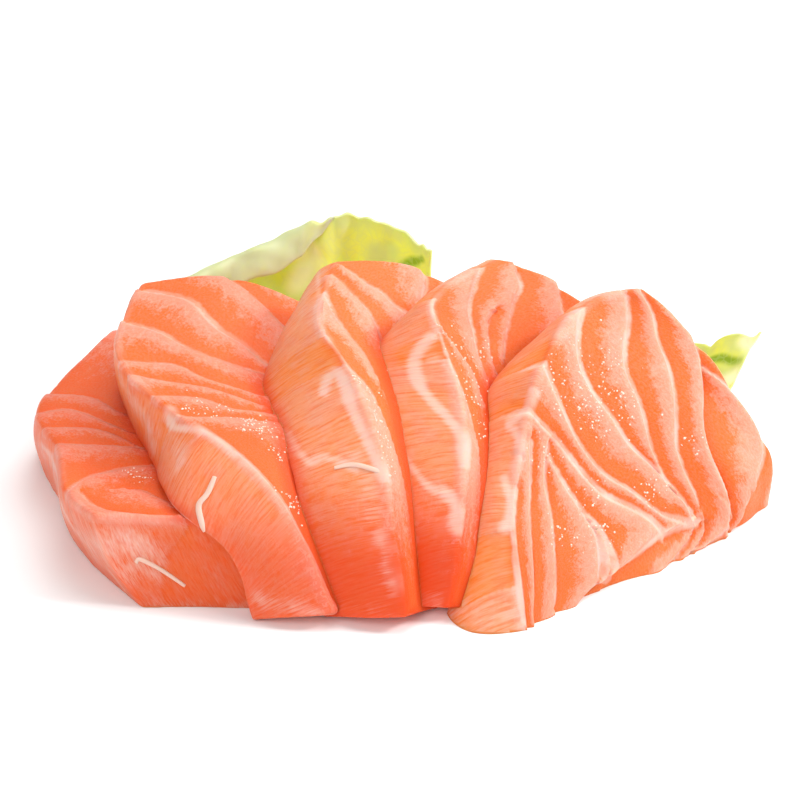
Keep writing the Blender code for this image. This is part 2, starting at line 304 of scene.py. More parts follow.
                (1.04, 0.22), (0.99, 0.36), (0.93, 0.48), (0.86, 0.58), (0.82, 0.66),
                (0.79, 0.75), (0.77, 0.83), (0.76, 0.9), (0.74, 0.97),
            ), 1.8),
            Seam(1.1, ((0.97, 0.44), (1.0, 0.58), (1.01, 0.72), (0.98, 0.82), (0.9, 0.88))),
            Seam(0.6, ((0.39, 0.47), (0.38, 0.61), (0.34, 0.76), (0.29, 0.87)), 0.0, 3.8),
            Seam(0.95, ((0.64, 0.9), (0.52, 0.88), (0.42, 0.885), (0.28, 0.88), (0.1, 0.9)), 0.8),
            Seam(0.5, ((0.63, 0.89), (0.62, 0.92), (0.58, 0.95), (0.49, 0.99)), 0.4),
            Seam(0.5, ((0.66, 0.9), (0.66, 0.93), (0.63, 0.96), (0.55, 0.99)), 0.3),
            Seam(0.6, ((0.77, 0.91), (0.78, 0.94), (0.73, 0.96), (0.61, 0.98)), 0.6),
            Seam(0.5, ((0.84, 0.93), (0.82, 0.96), (0.77, 0.98)), 0.4),
        ),
        patches=(
            Patch(0.8, 0.9, ((0.56, 0.0), (0.49, 0.06), (0.46, 0.24), (0.44, 0.06), (0.4, 0))),
            Patch(0.9, 0.9, ((0.34, 0.15), (0.31, 0.07), (0.27, 0.03), (0.21, 0.1))),
            Patch(1.0, 0.8, ((0.38, 0.64), (0.34, 0.65))),
            Patch(1.6, 0.5, ((0.11, 0.96), (0.07, 0.83), (0.06, 0.18))),
        ),
        glints=(
            Glint(0.62, 0.24, 4.5), Glint(0.7, 0.12, 3.5), Glint(0.71, 0.33, 3.0), Glint(0.78, 0.2, 2.5),
            Glint(0.56, 0.72, 2.5), Glint(0.44, 0.46, 3.0), Glint(0.43, 0.15, 2.5), Glint(0.37, 0.62, 3.5),
            Glint(0.29, 0.4, 3.0), Glint(0.8, 0.63, 2.0),
        ),
    ),
)

# Loose strands of fat on the cut sides: the slice, the strand's width in mm, and its places as
# shares of that slice's length, height and thickness.
STRANDS = (
    ("salmon_slice_1", 0.7, (
        (0, 0.1, 0.5), (0, 0.13, 0.46), (0, 0.16, 0.5), (0, 0.2, 0.58), (0, 0.26, 0.75),
    )),
    ("salmon_slice_2", 1.0, (
        (0.36, 0, 0.38), (0.345, 0, 0.58), (0.34, 0, 0.78), (0.31, 0, 0.91), (0.29, 0, 1.0),
    )),
    ("salmon_slice_3", 0.8, ((0.36, 0, 0.5), (0.37, 0, 0.3), (0.36, 0, 0.1), (0.35, 0.02, 0))),
)

# A leaf is a sheet between its foot on the table and its crest, both running left to right. Belly
# is how far it bows back between them, and lip how far its margin folds over to the front, as far as
# lip_end. Pleat is the depth of its fold and ruffle that of its waves. A nick is a bump or a dip in
# the margin: its share of the leaf's width, its height in mm and its reach as a share. Crease shadows
# are painted shade, dark lines along folds; ribs are watery lines and blanched places pale, each a list
# of lines with their places as shares of the leaf's width and height.
Leaf = namedtuple(
    "Leaf", "name cells belly lip lip_end pleat ruffle foot crest nicks creases ribs blanched"
)

LEAVES = (
    Leaf(
        "lettuce_leaf_left", cells=(240, 100), belly=4.5, lip=6.5, lip_end=0.53, pleat=3.0, ruffle=0.5,
        foot=((-38, 80, 0), (-14, 81, 0), (5, 78.5, 0)),
        crest=((-41.5, 80, 18.5), (-29, 86, 22), (-13, 90, 27), (-2, 89, 26.5), (5.5, 82, 24.5)),
        nicks=(
            (0.46, 0.8, 0.02), (0.515, 0.9, 0.025), (0.575, 0.6, 0.03), (0.655, 1.1, 0.03),
            (0.93, 0.8, 0.02),
        ),
        creases=(((0.76, 0.63), (0.8, 0.68), (0.86, 0.77), (0.93, 0.88)),),
        ribs=(((0.455, 0.67), (0.44, 0.54), (0.415, 0.42)),),
        blanched=(((0.7, 0.72), (0.76, 0.8)),),
    ),
    Leaf(
        "lettuce_leaf_right", cells=(140, 80), belly=1.5, lip=0.0, lip_end=0.0, pleat=-1.5, ruffle=0.3,
        foot=((34, 69, 0), (47, 68, 0), (54.5, 64, 0)),
        crest=((32, 76, 6), (48, 76, 9), (62.7, 72, 14.3)),
        nicks=((0.69, -0.9, 0.02), (0.79, 0.9, 0.05)),
        creases=(((0.66, 0.66), (0.74, 0.7), (0.8, 0.7), (0.87, 0.67), (0.95, 0.66)),),
        ribs=(((0.9, 0.92), (1.0, 0.84)), ((0.82, 0.4), (0.95, 0.5))),
        blanched=(
            ((0.6, 0.95), (0.66, 0.86)),
            ((0.84, 0.92), (0.95, 0.9), (1.0, 0.8)),
            ((1.0, 0.55), (0.86, 0.45), (0.74, 0.48)),
        ),
    ),
)

# The stage is in metres. A light has its name, its place, its side and its power in watts.
LIGHTS = (
    ("key_light", (0.5, 0.0, 0.4), 0.15, 2.4),
    ("top_light", (0.12, 0.2, 0.6), 0.5, 2.7),
    ("front_light", (-0.2, -0.5, 0.45), 0.4, 1.7),
)
LIGHT_TARGET = (0, 0, 0.015)
SKY_STRENGTH = 0.48
FLOOR_REACH = 1.5
FLOOR_DROP = 0.05 * MM  # keeps the floor's sheet clear of the feet
TABLE_SIZE = 0.4  # of the block that cuts the feet flat
VIEW_ELEVATION = math.radians(30)  # of the photograph's camera, which looks along +Y
VIEW_DISTANCE = 0.52
VIEW_TARGET = (-0.0006, -0.004974, 0.014)
VIEW_LENS = 141.8  # in mm, on a 36 mm sensor
VIEW_SHIFT = 0.03125
VIEW_CLIP = 0.01


def linear(hex_colour):
    """An sRGB hex colour as the linear red, green and blue that the shaders work in."""
    channels = (int(hex_colour[i : i + 2], 16) / 255 for i in (1, 3, 5))
    return tuple(c / 12.92 if c <= 0.04045 else ((c + 0.055) / 1.055) ** 2.4 for c in channels)


def length_property(name, description, millimetres):
    return FloatProperty(name=name, description=description, default=millimetres * MM, unit="LENGTH")


def colour_property(name, description, hex_colour):
    return FloatVectorProperty(
        name=name, description=description, default=linear(hex_colour), subtype="COLOR", size=3, min=0, max=1
    )


class SashimiSizes(bpy.types.PropertyGroup):
    """The sizes that shape the fine surface of the slices and leaves."""

    edge_crease: FloatProperty(
        name="Edge crease", description="How sharp the knife's edges stay", default=0.6, min=0, max=1
    )
    smoothness: IntProperty(
        name="Smoothness", description="How often each cage is halved", default=4, min=1, max=4
    )
    flake_lift: length_property("Flake lift", "How far the flakes stand out", 0.3)
    flake_step: length_property("Flake step", "Step from one flake down to the next", 0.7)
    seam_groove: length_property("Seam groove", "Depth of the groove along a seam", 0.12)
    swell: length_property("Swell", "Depth of the soft, wide unevenness", 0.35)
    fibre_relief: length_property("Fibre relief", "Depth of the furrows between fibres", 0.05)
    slice_gap: length_property("Slice gap", "Gap between slices that touch", 0.01)
    strand: length_property("Strand", "Thickness of a loose strand of fat", 0.4)
    bead: length_property("Bead", "Greatest radius of a bead of moisture", 0.24)
    beads_per_cm2: FloatProperty(
        name="Beads", description="Beads of moisture on a square centimetre of a wet spot", default=150, min=0
    )
    leaf_thickness: length_property("Leaf thickness", "Thickness of a lettuce leaf", 0.45)


class SashimiColours(bpy.types.PropertyGroup):
    """The colours of the flesh, the fat and the leaves."""

    deep: colour_property("Deep flesh", "Smooth flesh just behind a seam", "#EA6E1E")
    flesh: colour_property("Flesh", "Grainy flesh before a seam", "#E88E6A")
    amber: colour_property("Amber flesh", "Upper parts of the rims", "#F58A34")
    # Red flesh also serves as painted shade and glow, in crevices and low on the rims near the table.
    red: colour_property("Red flesh", "Flesh in crevices and low on the rims", "#E4420C")
    fat: colour_property("Fat", "Seams and strands of fat", "#EFC9BA")
    membrane: colour_property("Membrane", "Loose strands of fat and skin", "#EFC2B0")
    # Near white: each bead is painted with a highlight, standing in for the glints of the wet film.
    moisture: colour_property("Moisture", "Beads of water and oil, full of light", "#FFE4D2")
    leaf: colour_property("Leaf", "Inner side of a leaf", "#D8DE7C")
    leaf_pale: colour_property("Leaf margin", "Folded, pale parts of a leaf", "#C4CE9C")
    leaf_rib: colour_property("Leaf rib", "Thick, watery rib of a leaf", "#F6F9DC")
    # Painted shade: the green of the leaves' creases and margin edges.
    leaf_painted_shade: colour_property("Leaf crease", "Darkest green of a leaf", "#7E9A22")
    floor: colour_property("Floor", "Plain floor", "#FAFAFA")


def to_world(place):
    """Metres from the origin, from millimetres in the frame of the tables above."""
    return (place - Vector((*CENTRE, 0))) * MM


def smooth_curve(points, u):
    """Place at u, from 0 to 1, on a smooth curve through evenly spaced points."""
    spans = len(points) - 1
    span = min(int(u * spans), spans - 1)
    t = u * spans - span
    before, start, end, after = (Vector(points[max(0, min(spans, span + k))]) for k in (-1, 0, 1, 2))
    return (
        start
        + 0.5 * t * (end - before)
        + 0.5 * t * t * (2 * before - 5 * start + 4 * end - after)
        + 0.5 * t**3 * (3 * start - before - 3 * end + after)
    )


def knee_share(piece):
    """Share of the way down a slice at which the broad face ends and the foot, the last row, starts."""
    rows = piece.cells[1]
    return (rows - 1) / rows


def slice_point(piece, u, v, w):
    """Place in a slice: u along it, v from the ridge across the face to the foot, w through it."""
    ridge = smooth_curve([s.ridge for s in piece.stations], u)
    rim = smooth_curve([s.rim for s in piece.stations], u)
    knee = smooth_curve([s.knee for s in piece.stations], u)
    crown = smooth_curve([(0, 0, s.crown) for s in piece.stations], u)
    foot = smooth_curve([(*s.foot, 0) for s in piece.stations], u)
    knee_at = knee_share(piece)
    if v < knee_at:
        share = v / knee_at
        place = ridge.lerp(knee, share) + crown * 4 * share * (1 - share)
    else:
        share = (v - knee_at) / (1 - knee_at)
        place = knee + (foot - Vector((0, 0, max(knee.z, 0) + FOOT_DIP))) * share
    swell = (RIM_SWELL + piece.toe * (1 - u) ** 4) * 4 * w * (1 - w) * (1 - v) ** 4
    return place + (ridge - knee).normalized() * swell + rim * w


def box_cage(cells, crease_depth):
    """A bmesh cube from 0 to 1, cut into cells along X, Y and Z. Each vertex keeps its place as "uvw"."""
    cage = bmesh.new()
    bmesh.ops.create_cube(cage, size=1)
    bmesh.ops.translate(cage, verts=cage.verts, vec=(0.5, 0.5, 0.5))
    for axis, count in enumerate(cells):
        # the edges that run the cube's whole length along this axis
        edges = [e for e in cage.edges if abs((e.verts[0].co - e.verts[1].co)[axis]) > 0.5]
        bmesh.ops.subdivide_edges(cage, edges=edges, cuts=count - 1, use_grid_fill=True)
    crease = cage.edges.layers.float.new("crease_edge")
    for edge in cage.edges:
        if edge.calc_face_angle() > math.radians(45):
            edge[crease] = crease_depth
    uvw = cage.verts.layers.float_vector.new("uvw")
    for vert in cage.verts:
        vert[uvw] = vert.co
    return cage


def mesh_object(name, shape):
    """An object at the origin from a bmesh, which is freed."""
    mesh = bpy.data.meshes.new(name)
    shape.to_mesh(mesh)
    shape.free()
    mesh.shade_smooth()
    obj = bpy.data.objects.new(name, mesh)
    bpy.context.scene.collection.objects.link(obj)
    return obj


def apply_modifiers(obj):
    """Replaces the object's mesh by the one that its modifiers make."""
    graph = bpy.context.evaluated_depsgraph_get()
    made = bpy.data.meshes.new_from_object(
        obj.evaluated_get(graph), preserve_all_data_layers=True, depsgraph=graph
    )
    old = obj.data
    obj.modifiers.clear()
    obj.data = made
    bpy.data.meshes.remove(old)
    made.name = obj.name


def add_modifier(obj, kind, **settings):
    modifier = obj.modifiers.new(kind.title(), kind)
    for name, value in settings.items():
        setattr(modifier, name, value)


def read_vectors(data, name):
    """One row of three numbers for each item of a mesh's data."""
    values = np.empty(len(data) * 3, np.float32)
    data.foreach_get(name, values)
    return values.reshape(-1, 3).astype(float)


def write_attribute(mesh, name, values):
    """Keeps a number or a vector for each vertex, for the material to read."""
    vector = values.ndim == 2
    attribute = mesh.attributes.new(name, "FLOAT_VECTOR" if vector else "FLOAT", "POINT")
    attribute.data.foreach_set("vector" if vector else "value", values.astype(np.float32).ravel())


def smooth_step(low, high, x):
    """0 below low and 1 above high, eased between them."""
    t = np.clip((x - low) / (high - low), 0, 1)
    return t * t * (3 - 2 * t)


def noise_field(places, size, seed):
    """Soft noise from -1 to 1 at each place, in lumps of that size."""
    shift = Vector((seed * 17.3, seed * 5.9, seed * 11.1))
    return np.array([noise.noise(Vector(p) + shift) for p in places / size])


def reach_of(places, x, y):
    """How each (x, y) lies to a smooth line through the places: how far off, how far along it as a
    share, and 1 where it lies behind it, else -1."""
    steps = LINE_STEPS * (len(places) - 1)
    line = [smooth_curve([(*p, 0) for p in places], k / steps) for k in range(steps + 1)]
    nearest = np.full(x.shape, np.inf)
    share, side = np.zeros_like(x), np.zeros_like(x)
    for step, (start, end) in enumerate(zip(line, line[1:])):
        dx, dy = end.x - start.x, end.y - start.y
        along = np.clip(((x - start.x) * dx + (y - start.y) * dy) / (dx * dx + dy * dy), 0, 1)
        away = np.hypot(x - start.x - along * dx, y - start.y - along * dy)
        nearer = away < nearest
        side = np.where(nearer, np.sign(dy * (x - start.x) - dx * (y - start.y)), side)
        share = np.where(nearer, (step + along) / steps, share)
        nearest = np.minimum(nearest, away)
    return nearest, share, side


def slice_scale(piece):
    """Length, height and thickness of a slice in mm, as means over its stations."""
    middles = [(Vector(s.ridge) + Vector(s.knee)) / 2 for s in piece.stations]
    length = sum((b - a).length for a, b in zip(middles, middles[1:]))
    height = sum((Vector(s.ridge) - Vector(s.knee)).length for s in piece.stations) / len(middles)
    thickness = sum(Vector(s.rim).length for s in piece.stations) / len(middles)
    return length, height / knee_share(piece), thickness


def crevice_field(places, neighbours):
    """How near each place is to a neighbouring slice: 1 where it touches, 0 from CREVICE_GLOW_REACH away."""
    field = np.zeros(len(places))
    for tree in neighbours:
        found = (tree.find_nearest(place, CREVICE_GLOW_REACH)[3] for place in places)
        near = np.array([CREVICE_GLOW_REACH if away is None else away for away in found])
        field = np.maximum(field, 1 - near / CREVICE_GLOW_REACH)
    return field


def seam_fields(piece, uvw, grain):
    """How far each place is outside the nearest seam, its share of the way through its flake, and how
    deep the flesh is torn away there."""
    length, height, _ = slice_scale(piece)
    u, v, w = uvw.T
    x, y, z = grain.T
    inside = z * smooth_step(1.0, BACK_FACE, w)
    outside = np.full(u.shape, FAR)
    before, behind = (u + END_FLAKE) * length, (1 + END_FLAKE - u) * length
    torn = np.zeros_like(u)
    for seam in piece.seams:
        places = [(a * length, b * height) for a, b in seam.places]
        away, share, side = reach_of(places, x, y)
        run, fall = (abs(places[-1][k] - places[0][k]) for k in (0, 1))
        # A seam that runs along the ridge doesn't cross the rim, and one that meets it does.
        away = np.hypot(away, inside * max(0.12, min(1, 1.5 * run / (run + fall) - 0.4)))
        outside = np.minimum(outside, away - (seam.width + seam.flare * share) / 2)
        before = np.where(side > 0, np.minimum(before, away), before)
        behind = np.where(side <= 0, np.minimum(behind, away), behind)
        if seam.step:
            inner = smooth_step(0.15, 0.35, v) * smooth_step(1.0, 0.93, u)
            fade = inner * np.exp(-away / (TEAR_FADE * seam.step))
            torn = np.maximum(torn, seam.step * smooth_step(0, TEAR_EDGE, away * side) * fade)
    return outside, before / (before + behind), torn


def pale_field(piece, uvw, grain, low, over_table):
    """How pale the rim is: painted floor light at the foot, fat and a painted highlight along the ridge, and
    patches.
    """
    length, height, thickness = slice_scale(piece)
    u, v, _ = uvw.T
    _, y, z = grain.T
    # Painted light: the very foot is paled as if lit from the floor through its thin edge.
    foot = 0.3 * smooth_step(*FLOOR_GLOW_HEIGHTS, over_table)
    # Along the ridge lies a fringe of fat and a painted highlight, fainter where the low shade is painted.
    uneven = 0.5 + 0.35 * noise_field(uvw * (RIDGE_LUMPS, 0, 0), 1.0, 3)
    ridge = smooth_step(RIDGE_FAT_AND_HIGHLIGHT, 0.0, z) * uneven * (1 - 0.6 * low)
    pale = np.maximum(foot, ridge)
    # Round the corner, the cut front end carries on from the rim, with lengths below 0.
    along = u * length - np.where(u < 0.02, v, 0) * height
    for patch in piece.patches:
        away, _, _ = reach_of([(a * length, b * thickness) for a, b in patch.places], along, z)
        pale = np.maximum(pale, patch.strength * smooth_step(PATCH_FADE, 0.0, away / patch.reach))
    return pale * smooth_step(*PALE_EDGE, np.minimum(u * length, y))


def flesh_fields(piece, uvw, over_table):
    """What lies where in the flesh, for each vertex: a dict of the fields that shape and colour it."""
    u, v, w = uvw.T
    length, height, thickness = slice_scale(piece)
    grain = np.stack([(u + piece.slant * w) * length, v * height, w * thickness], 1)
    outside, flake, torn = seam_fields(piece, uvw, grain)
    side_cut = np.maximum(smooth_step(RIM_EDGE, 0.0, v), smooth_step(FRONT_EDGE, 0.0, u))
    rim = side_cut * smooth_step(0.02, 0.15, w)
    # Painted shade: the rims are painted redder towards the table, where they lie in shade, and lose their
    # amber there.
    low = piece.blush * smooth_step(*LOW_SHADE_HEIGHTS, over_table)
    wet = np.zeros_like(u)
    for along, down, reach in piece.glints:
        away = np.sqrt(((u - along) * length) ** 2 + ((v - down) * height) ** 2 + (w * thickness) ** 2)
        wet = np.maximum(wet, smooth_step(1.5, 0.3, away / reach))
    return {
        "outside": outside,
        "flake": flake,
        "band": 0.5 + (flake - 0.5) * piece.contrast,
        "patch": pale_field(piece, uvw, grain, low, over_table),
        "red": np.maximum(piece.flush * (1 - 0.3 * side_cut), low * (0.6 + 0.4 * side_cut)),
        "wet": wet,
        "torn": torn,
        "rim": rim,
        "amber": rim * (1 - low) * smooth_step(1.05, 0.6, w),
        "milk": np.full(u.shape, piece.contrast**2),
        "grain": grain,
    }


def shape_slice(obj, piece, sizes):
    """Moves the fine mesh's vertices in and out, for flakes, seams, fibres and the torn end."""
    mesh = obj.data
    places = read_vectors(mesh.vertices, "co")
    normals = read_vectors(mesh.vertex_normals, "vector")
    uvw = read_vectors(mesh.attributes["uvw"].data, "vector")
    fields = flesh_fields(piece, uvw, places[:, 2])
    facing = (1 - uvw[:, 2]) ** 2  # 1 on the broad face, 0 on the hidden one
    stair = smooth_step(0.0, STAIR_TOP, fields["flake"]) * smooth_step(1.0, STAIR_TOP, fields["flake"])
    rise = sizes.flake_lift + sizes.flake_step * piece.contrast * (stair - 0.3)
    rise = rise * (0.25 + 0.75 * facing)
    groove = np.exp(-((np.maximum(fields["outside"], 0) / GROOVE_WIDTH) ** 2))
    rise -= sizes.seam_groove * groove * (0.3 + 0.7 * facing)
    rise += sizes.swell * noise_field(places / MM, SWELL_WIDTH, 2)
    rise += sizes.fibre_relief * noise_field(fields["grain"] * (1, 1, FURROW_STRETCH), FURROW_WIDTH, 1)
    rise -= fields["torn"] * MM * facing
    places += normals * rise[:, None]
    mesh.vertices.foreach_set("co", places.astype(np.float32).ravel())
    mesh.update()
    for name in ("outside", "band", "patch", "red", "wet", "rim", "amber", "milk", "grain"):
        write_attribute(mesh, name, fields[name])


def cutter_of(obj, gap):
    """A copy of the object, bigger by the gap all round, that cuts its neighbours."""
    cutter = bpy.data.objects.new(obj.name + "_cutter", obj.data.copy())
    bpy.context.scene.collection.objects.link(cutter)
    add_modifier(cutter, "DISPLACE", strength=gap, mid_level=0)
    return cutter


def table_block():
    """The space under the table top, which cuts every foot flat."""
    block = bmesh.new()
    bmesh.ops.create_cube(block, size=TABLE_SIZE)
    bmesh.ops.translate(block, verts=block.verts, vec=(0, 0, -TABLE_SIZE / 2))
    return mesh_object("table_block", block)


def add_node(tree, kind, inputs, output=0, **settings):
    """Adds a node with its settings, and gives one of its outputs. What each input gets is a value or
    the output of another node."""
    node = tree.nodes.new("ShaderNode" + kind)
    for name, value in settings.items():
        setattr(node, name, value)
    for name, value in inputs.items():
        if isinstance(value, bpy.types.NodeSocket):
            tree.links.new(value, node.inputs[name])
        else:
            node.inputs[name].default_value = value
    return node.outputs[output]


def new_material(name, **values):
    """A material with one Principled shader, whose sockets have these values."""
    material = bpy.data.materials.new(name)
    material.use_nodes = True
    shader = material.node_tree.nodes["Principled BSDF"]
    for socket, value in values.items():
        shader.inputs[socket.replace("_", " ")].default_value = value
    return material, material.node_tree, shader


def raw_salmon(colours):
    """Raw farmed salmon, cut across the fibres with a wet knife.

    The flesh is a translucent, watery muscle in flakes a few mm wide, parted by seams of white fat,
    so light sinks 1 to 3 mm into it and comes back orange, and its cut face has a thin wet film.
    """
    material, tree, shader = new_material(
        "raw_salmon",
        Roughness=0.45,
        IOR=1.36,
        Specular_IOR_Level=0.25,
        Subsurface_Weight=0.45,
        Subsurface_Radius=(1.0, 0.3, 0.12),
        Subsurface_Scale=1.8 * MM,
        Coat_Weight=0.35,
        Coat_Roughness=0.08,
        Coat_IOR=1.34,
    )
    read = {
        name: add_node(tree, "Attribute", {}, "Fac", attribute_name=name)
        for name in ("outside", "band", "patch", "red", "wet", "rim", "amber", "milk", "painted_crevice_glow")
    }
    grain = add_node(tree, "Attribute", {}, "Vector", attribute_name="grain")
    # Fibres are 0.1 to 0.2 mm wide, and drawn about 0.35 mm wide so that they show.
    stretched = add_node(tree, "Mapping", {"Vector": grain, "Scale": (2.8, 2.8, 0.22)})
    threads = add_node(
        tree, "TexNoise", {"Vector": stretched, "Scale": 1.0, "Detail": 4.0, "Roughness": 0.65}
    )
    fibres = add_node(tree, "MapRange", {"Value": threads, "From Min": 0.3, "From Max": 0.7}, **EASED)
    # The flesh is cloudy over about 4 mm, and the edges of its colours fray over about 1.25 mm.
    clouds = add_node(tree, "TexNoise", {"Vector": grain, "Scale": 1 / 4, "Detail": 2.0})
    fray = add_node(tree, "TexNoise", {"Vector": grain, "Scale": 1 / 1.25, "Detail": 3.0})

    # Behind a seam the flesh is smooth and orange, and from the middle of a flake pink and grainy.
    # On the rim it is orange with streaks.
    drift = add_node(tree, "Math", {0: clouds, 1: 0.3, 2: read["band"]}, operation="MULTIPLY_ADD")
    mottle = add_node(tree, "Math", {0: fray, 1: 0.5, 2: drift}, operation="MULTIPLY_ADD")
    frayed = add_node(tree, "Math", {0: fibres, 1: 0.12, 2: mottle}, operation="MULTIPLY_ADD")
    ripe = add_node(tree, "MapRange", {"Value": frayed, "From Min": 0.86, "From Max": 1.08}, **EASED)
    paling = add_node(tree, "MapRange", {"Value": mottle, "From Min": 1.0, "From Max": 1.5, "To Max": 0.4})
    hold = add_node(tree, "Math", {0: read["rim"], 1: -0.7, 2: 1.0}, operation="MULTIPLY_ADD")
    pink_flake = add_node(tree, "Math", {0: ripe, 1: hold}, operation="MULTIPLY")
    mottled = add_node(
        tree, "MapRange", {"Value": clouds, "From Min": 0.4, "From Max": 0.7, "To Max": 0.35}, **EASED
    )
    pink = add_node(tree, "Math", {0: mottled, 1: read["rim"], 2: pink_flake}, operation="MULTIPLY_ADD")
    rim_grain = add_node(tree, "Math", {0: read["rim"], 1: 0.08, 2: 0.13}, operation="MULTIPLY_ADD")
    coarse = add_node(tree, "Math", {0: pink_flake, 1: 0.16, 2: rim_grain}, operation="MULTIPLY_ADD")
    streak = add_node(tree, "Math", {0: fibres, 1: coarse}, operation="MULTIPLY")
    pale = add_node(tree, "Math", {0: paling, 1: hold, 2: streak}, operation="MULTIPLY_ADD")

    # Painted shade and light: low on the rims near the table and in crevices the flesh is painted red, for
    # the shade
    #     there and the light that slices throw on each other. The rims also redden in their furrows.
    glow = add_node(tree, "MapRange", {"Value": read["painted_crevice_glow"], "From Min": 0.3, "To Max": 0.8}, **EASED)
    reddest = add_node(tree, "Math", {0: read["red"], 1: glow}, operation="MAXIMUM")
    furrow = add_node(tree, "MapRange", {"Value": fibres, "From Min": 0.5, "From Max": 0.0, "To Max": 0.28})
    hatch = add_node(tree, "Math", {0: furrow, 1: read["rim"]}, operation="MULTIPLY")

    # Thin layers of fat run beside the seams, a few to a flake.
    layers = add_node(tree, "Math", {0: fray, 1: 0.9, 2: read["band"]}, operation="MULTIPLY_ADD")
    wave = add_node(tree, "Math", {0: layers, 1: 24.0}, operation="MULTIPLY")
    crest = add_node(tree, "Math", {0: wave}, operation="SINE")
    line = add_node(tree, "MapRange", {"Value": crest, "From Min": 0.5, "To Max": 0.15}, **EASED)
    layered = add_node(tree, "Math", {0: line, 1: pink_flake}, operation="MULTIPLY")

    # The seams have a milky core and edges that fray over about 0.5 mm, and come and go.
    ragged = add_node(tree, "Math", {0: fray, 1: 0.6, 2: read["outside"]}, operation="MULTIPLY_ADD")
    seam = add_node(
        tree, "MapRange", {"Value": ragged, "From Min": 0.4, "From Max": -0.05, "To Max": 0.85}, **EASED
    )
    milky = add_node(
        tree, "MapRange", {"Value": clouds, "From Min": 0.35, "From Max": 0.65, "To Min": 0.55}, **EASED
    )
    cloudy_seam = add_node(tree, "Math", {0: seam, 1: milky}, operation="MULTIPLY")
    vein = add_node(tree, "Math", {0: cloudy_seam, 1: read["milk"]}, operation="MULTIPLY")

    # A pale patch frays out along the fibres, and gives way to the painted glow and shade of crevices.
    comb = add_node(tree, "Math", {0: fibres, 1: read["rim"]}, operation="MULTIPLY")
    combed = add_node(tree, "Math", {0: comb, 1: 0.25, 2: read["patch"]}, operation="MULTIPLY_ADD")
    clouded = add_node(tree, "Math", {0: clouds, 1: 0.5, 2: combed}, operation="MULTIPLY_ADD")
    soft = add_node(
        tree, "MapRange", {"Value": clouded, "From Min": 0.6, "From Max": 1.4, "To Max": 0.8}, **EASED
    )
    lit = add_node(tree, "Math", {0: glow, 1: -1.1, 2: 1.0}, operation="MULTIPLY_ADD")
    patch = add_node(tree, "Math", {0: soft, 1: lit}, operation="MULTIPLY")

    # These lie over the deep flesh, each where its share is and over the one before.
    colour = (*colours.deep, 1)
    for share, over in (
        (read["amber"], colours.amber),
        (pink, colours.flesh),
        (pale, colours.fat),
        (reddest, colours.red),
        (hatch, colours.red),
        (layered, colours.fat),
        (vein, colours.fat),
        (patch, colours.fat),
    ):
        colour = add_node(tree, "Mix", {0: share, 6: colour, 7: (*over, 1)}, 2, data_type="RGBA")
    tree.links.new(colour, shader.inputs["Base Color"])

    # A wet film lies in beads of about 0.4 mm where the light catches it.
    drops = add_node(tree, "TexNoise", {"Vector": grain, "Scale": 2.6, "Detail": 1.0})
    film = add_node(tree, "Math", {0: drops, 1: read["wet"]}, operation="MULTIPLY")
    height = add_node(tree, "Math", {0: film, 1: 3.0, 2: fibres}, operation="MULTIPLY_ADD")
    bump = add_node(tree, "Bump", {"Height": height, "Strength": 0.4, "Distance": 0.15 * MM})
    tree.links.new(bump, shader.inputs["Normal"])
    tree.links.new(bump, shader.inputs["Coat Normal"])
    return material


class SASHIMI_OT_slices(bpy.types.Operator):
    """Build the five slices of salmon"""

    bl_idname = "sashimi.slices"
    bl_label = "Salmon slices"

    def execute(self, context):
        sizes = context.scene.sashimi_sizes
        flesh = raw_salmon(context.scene.sashimi_colours)
        slices = []
        for piece in SLICES:
            cage = box_cage(piece.cells, sizes.edge_crease)
            for vert in cage.verts:
                vert.co = to_world(slice_point(piece, *vert.co))
            obj = mesh_object(piece.name + "_flesh", cage)
            add_modifier(obj, "SUBSURF", levels=sizes.smoothness, render_levels=sizes.smoothness)
            apply_modifiers(obj)
            shape_slice(obj, piece, sizes)
            slices.append(obj)
        graph = context.evaluated_depsgraph_get()
        trees = [BVHTree.FromObject(obj, graph) for obj in slices]
        cutters = [cutter_of(obj, sizes.slice_gap) for obj in slices]
        table = table_block()
        for number, (piece, obj) in enumerate(zip(SLICES, slices)):
            beside = trees[max(0, number - 1) : number] + trees[number + 1 : number + 2]
            near = crevice_field([v.co for v in obj.data.vertices], beside)
            amber = np.empty(len(near), np.float32)
            obj.data.attributes["amber"].data.foreach_get("value", amber)
            # Painted light: the red glow in crevices is strongest between slices with a red rim, and weakest
            # on the rims' amber tops.
            glow = near * (0.35 + 0.65 * min(1, 2 * piece.blush)) * (1 - 0.5 * amber)
            write_attribute(obj.data, "painted_crevice_glow", glow)
            for other in (table, *cutters[max(0, number - 2) : number]):
                add_modifier(obj, "BOOLEAN", operation="DIFFERENCE", solver="MANIFOLD", object=other)
            apply_modifiers(obj)
            obj.data.set_sharp_from_angle(angle=CUT_ANGLE)
            obj.data.materials.clear()
            obj.data.materials.append(flesh)
            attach(obj, "root")
            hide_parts(piece.name)
        for cutter in (table, *cutters):
            bpy.data.objects.remove(cutter)
        return {"FINISHED"}


def surface_finder(obj):
    """A function that gives the place and normal of the object's vertex nearest to a (u, v, w)."""
    uvw = read_vectors(obj.data.attributes["uvw"].data, "vector")
    places = read_vectors(obj.data.vertices, "co")
    normals = read_vectors(obj.data.vertex_normals, "vector")

    def find(place):
        nearest = int(((uvw - place) ** 2).sum(1).argmin())
        return Vector(places[nearest]), Vector(normals[nearest])

    return find


